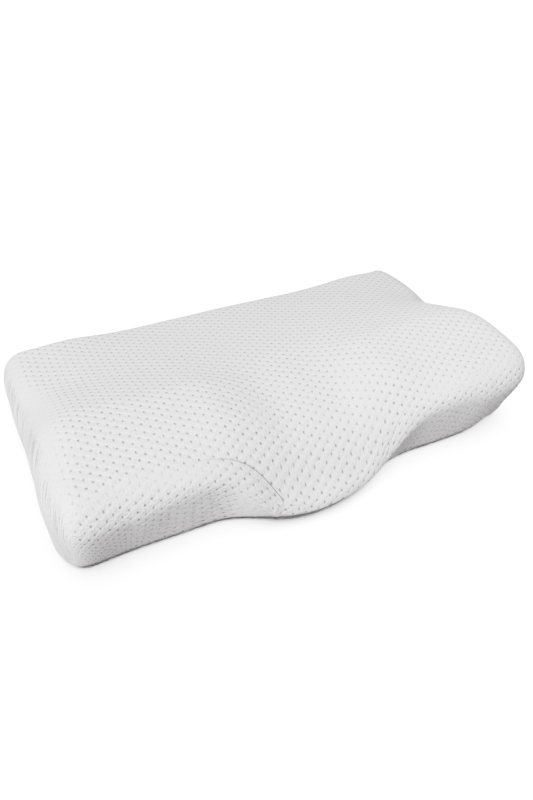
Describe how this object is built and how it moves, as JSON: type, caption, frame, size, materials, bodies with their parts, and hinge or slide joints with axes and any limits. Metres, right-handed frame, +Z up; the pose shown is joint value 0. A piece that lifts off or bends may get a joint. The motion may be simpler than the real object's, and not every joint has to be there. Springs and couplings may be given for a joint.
{
  "type": "cervical pillow",
  "caption": "Contoured neck pillow: raised wings at both ends, a ramped tongue at the front, a head hollow and a lower back, on a flat sewn base.",
  "frame": {"origin": "under the middle of the pillow's box, on the surface it lies on", "axes": "+X along the length from wing to wing, +Y from the tongued front to the low back, +Z up"},
  "size_m": [0.5872, 0.3412, 0.1205],
  "materials": {
    "cover_knit": "matt white double knit with small staggered dimples",
    "base_knit": "matt white double knit, drawn flat"
  },
  "bodies": {
    "root": {"cushion": "cover_knit", "base_panel": "base_knit"}
  },
  "joints": []
}
